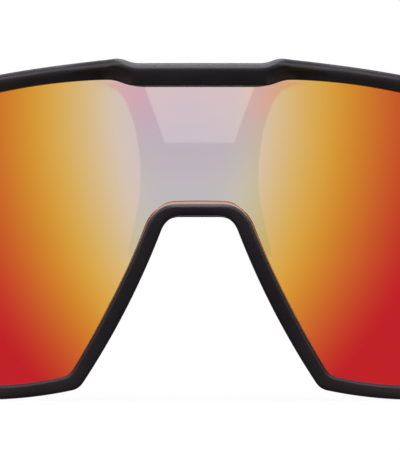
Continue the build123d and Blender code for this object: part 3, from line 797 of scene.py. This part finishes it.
def gripRing(side, back, z, turn, half, pinch):
    v = gripValues
    wide, edge = v["halfWidth"] - pinch, min(v["edge"], half * 0.95, v["halfWidth"] - pinch)
    ring = []
    for sx, sz, first in ((1, 1, 0), (-1, 1, 90), (-1, -1, 180), (1, -1, 270)):
        for step in range(0, 91, 15):
            angle = math.radians(first + step)
            across = sx * (wide - edge) + edge * math.cos(angle)
            up = sz * (half - edge) + edge * math.sin(angle)
            ring.append(gripPoint(side, back + up * math.sin(turn), z + up * math.cos(turn),
                                  across - v["halfWidth"]))
    return ring


for word, side in (("left", 1), ("right", -1)):
    v = gripValues
    stations = gripPath()
    points, faces = tube([gripRing(side, *station) for station in stations], False)
    size = len(points) // len(stations)
    faces += [tuple(range(size)), tuple(len(points) - 1 - k for k in range(size))]
    blank = makeMesh("gripBlank", points, faces, [gripElastomer])
    spool = []
    for sideways in (3.0, 0.01, -0.25, -0.6, -3.6, -3.95, -4.21, -7.2):
        near = max(0.0, 1 - min(abs(sideways), abs(sideways + 2 * v["halfWidth"])) / 0.6)
        radius = v["eye"] + v["eyeFlare"] * near ** 2 if -4.3 < sideways < 0.1 else v["eye"] + v["eyeFlare"]
        spool.append([gripPoint(side, v["tipBack"] + radius * math.cos(math.tau * k / 36),
                                v["tipZ"] + radius * math.sin(math.tau * k / 36), sideways)
                      for k in range(36)])
    points, faces = tube(spool, False)
    faces += [tuple(range(36)), tuple(len(points) - 1 - k for k in range(36))]
    cutter = makeMesh("eyeCutter", points, faces, [gripElastomer])
    cut = blank.modifiers.new("eye", "BOOLEAN")
    cut.object, cut.operation, cut.solver = cutter, "DIFFERENCE", "EXACT"
    mesh = plainMesh(blank, word + "Grip")
    bpy.data.objects.remove(blank)
    bpy.data.objects.remove(cutter)
    mesh.shade_smooth()
    mesh.set_sharp_from_angle(angle=math.radians(50))
    grip = bpy.data.objects.new(word + "Grip", mesh)
    bpy.context.collection.objects.link(grip)
    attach(grip, word + "_temple")
    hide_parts(word + "_ear_grip")
    for face, sideways in (("Outer", -0.1), ("Inner", -2 * v["halfWidth"] + 0.1)):
        line = [gripPoint(side, b, z, sideways) for b, z, *_ in stations[7:36]]
        rib = ribsAlong(word + face + "Ribs", line, v["ribs"], gripElastomer)
        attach(rib, word + "_temple")
print("ear grips made")


# CAD nodes that keep their shape and only get a material
carried = {
    "front_leaf": leafSteel, "temple_leaf": leafSteel, "hinge_screw": screwSteel,
    "front_leaf_screws": screwSteel, "temple_leaf_screws": screwSteel, "hinge_washers": washerNylon,
    "temple_core": wireSteel, "temple_arm": frameNylon, "nose_clip": frameNylon,
}
for name, piece in nodes.items():
    for ending, material in carried.items():
        if name in (ending, "left_" + ending, "right_" + ending):
            for slot in piece.material_slots:
                slot.material = material


stageValues = {
    "floorColour": "#5a5a5a", "floorGlow": 0.92,  # an opal table lit from below
    "frontPower": 17.0, "backPower": 4.5, "warmPower": 4.0, "sidePower": 8.0,
    "lens": 406.0, "distance": 0.9, "height": 0.03133, "aside": 0.00009,
}
frontFace = (apexY - o["proud"]) * mm

floorMesh = bpy.data.meshes.new("studioFloor")
floorMesh.from_pydata([(-4, -4, 0), (4, -4, 0), (4, 4, 0), (-4, 4, 0)], [], [(0, 1, 2, 3)])
floor = bpy.data.objects.new("studioFloor", floorMesh)
bpy.context.collection.objects.link(floor)
floorMaterial, tree, shader, place = newMaterial("opalAcrylicTable")
shader.inputs["Base Color"].default_value = linear(stageValues["floorColour"])
shader.inputs["Roughness"].default_value = 0.9
shader.inputs["Specular IOR Level"].default_value = 0
shader.inputs["Emission Color"].default_value = (1, 1, 1, 1)
shader.inputs["Emission Strength"].default_value = stageValues["floorGlow"]
floorMesh.materials.append(floorMaterial)

world = bpy.data.worlds.new("studio")
world.use_nodes = True
world.node_tree.nodes["Background"].inputs[0].default_value = (1, 1, 1, 1)
world.node_tree.nodes["Background"].inputs[1].default_value = 1.0
bpy.context.scene.world = world
bpy.context.scene.view_settings.view_transform = "Standard"

lit = bpy.data.collections.new("glassesOnly")
for piece in bpy.data.objects:
    if piece.type == "MESH" and piece not in (floor, bead):
        lit.objects.link(piece)


def areaLight(name, spot, size, power, tint):
    # a square soft light that faces the front
    light = bpy.data.lights.new(name, "AREA")
    light.shape, light.size, light.energy, light.color = "SQUARE", size, power, tint
    lamp = bpy.data.objects.new(name, light)
    lamp.location = spot
    lamp.rotation_euler = (Vector((0, frontFace, 0.04)) - Vector(spot)).to_track_quat("-Z", "Y").to_euler()
    bpy.context.collection.objects.link(lamp)
    lamp.light_linking.receiver_collection = lit


areaLight("frontTopBox", (0, frontFace - 0.16, 0.55), 0.35, stageValues["frontPower"], (1, 1, 1))
areaLight("backTopBox", (0, frontFace + 0.2, 0.5), 0.3, stageValues["backPower"], (1, 1, 1))
for side in (-1, 1):
    sideSpot, warmSpot = (0.4 * side, frontFace - 0.2, 0.4), (0.5 * side, frontFace - 0.2, 0.0)
    areaLight("sideTopBox", sideSpot, 0.35, stageValues["sidePower"], (1.0, 0.97, 1.0))
    areaLight("warmSide", warmSpot, 0.15, stageValues["warmPower"], (1.0, 0.55, 0.25))

# cards on upright planes in front of the glasses, which the mirror shows; half an outline each, as (x, z)
cards = {
    "flag": {
        "away": 600,
        "half": [(318, 75.2), (262, 74), (225, 71.8), (205, 69), (190, 65), (175, 60), (163, 52.5),
                 (159, 46), (164, 39), (181, 31), (200, 22)],
        "tones": [(43, (0.845, 0.94, 0.91)), (54, (0.825, 0.876, 0.89)), (63, (0.905, 0.80, 0.87)),
                  (70, (1.0, 0.74, 0.85))]},
    "softbox": {
        "away": 590, "half": [(156, 75), (120, 64.5), (91, 55.5), (45, 56.2)],
        "tones": [(55, (0.97, 1.03, 1.03)), (74, (1.09, 1.02, 1.0))]},
}
for name, card in cards.items():
    half = resample([(x, z) for x, z in card["half"]], 24)
    y = frontFace - card["away"] * mm
    mesh = bpy.data.meshes.new(name)
    corners = [(x * side * mm, y, z * mm) for side in (1, -1) for x, z in half]
    mesh.from_pydata(corners, [], [(i, i + 1, i + 26, i + 25) for i in range(24)])
    material, tree, shader, place = newMaterial(name + "Cloth")
    axes = addNode(tree, "ShaderNodeSeparateXYZ", links={"Vector": place})
    low, high = card["tones"][0][0], card["tones"][-1][0]
    rise = addNode(tree, "ShaderNodeMapRange", {"From Min": low * mm, "From Max": high * mm},
                   {"Value": axes.outputs[2]})
    tone = addNode(tree, "ShaderNodeValToRGB", links={"Fac": rise.outputs[0]})
    while len(tone.color_ramp.elements) < len(card["tones"]):
        tone.color_ramp.elements.new(0.5)
    for stop, (height, shade) in zip(tone.color_ramp.elements, card["tones"]):
        stop.position, stop.color = (height - low) / (high - low), (*shade, 1)
    tree.links.new(tone.outputs[0], shader.inputs["Emission Color"])
    shader.inputs["Emission Strength"].default_value = 1.0
    shader.inputs["Base Color"].default_value = (0, 0, 0, 1)
    shader.inputs["Specular IOR Level"].default_value = 0
    mesh.materials.append(material)
    panel = bpy.data.objects.new(name, mesh)
    bpy.context.collection.objects.link(panel)
    panel.visible_camera = panel.visible_diffuse = panel.visible_shadow = False

camera = bpy.data.cameras.new("camera")
camera.lens = stageValues["lens"]
camera.sensor_width = 36
camera.clip_start, camera.clip_end = 0.01, 50
view = bpy.data.objects.new("camera", camera)
view.location = (stageValues["aside"], frontFace - stageValues["distance"], stageValues["height"])
view.rotation_euler = (math.radians(90), 0, 0)
bpy.context.collection.objects.link(view)
bpy.context.scene.camera = view

print("scene ready")
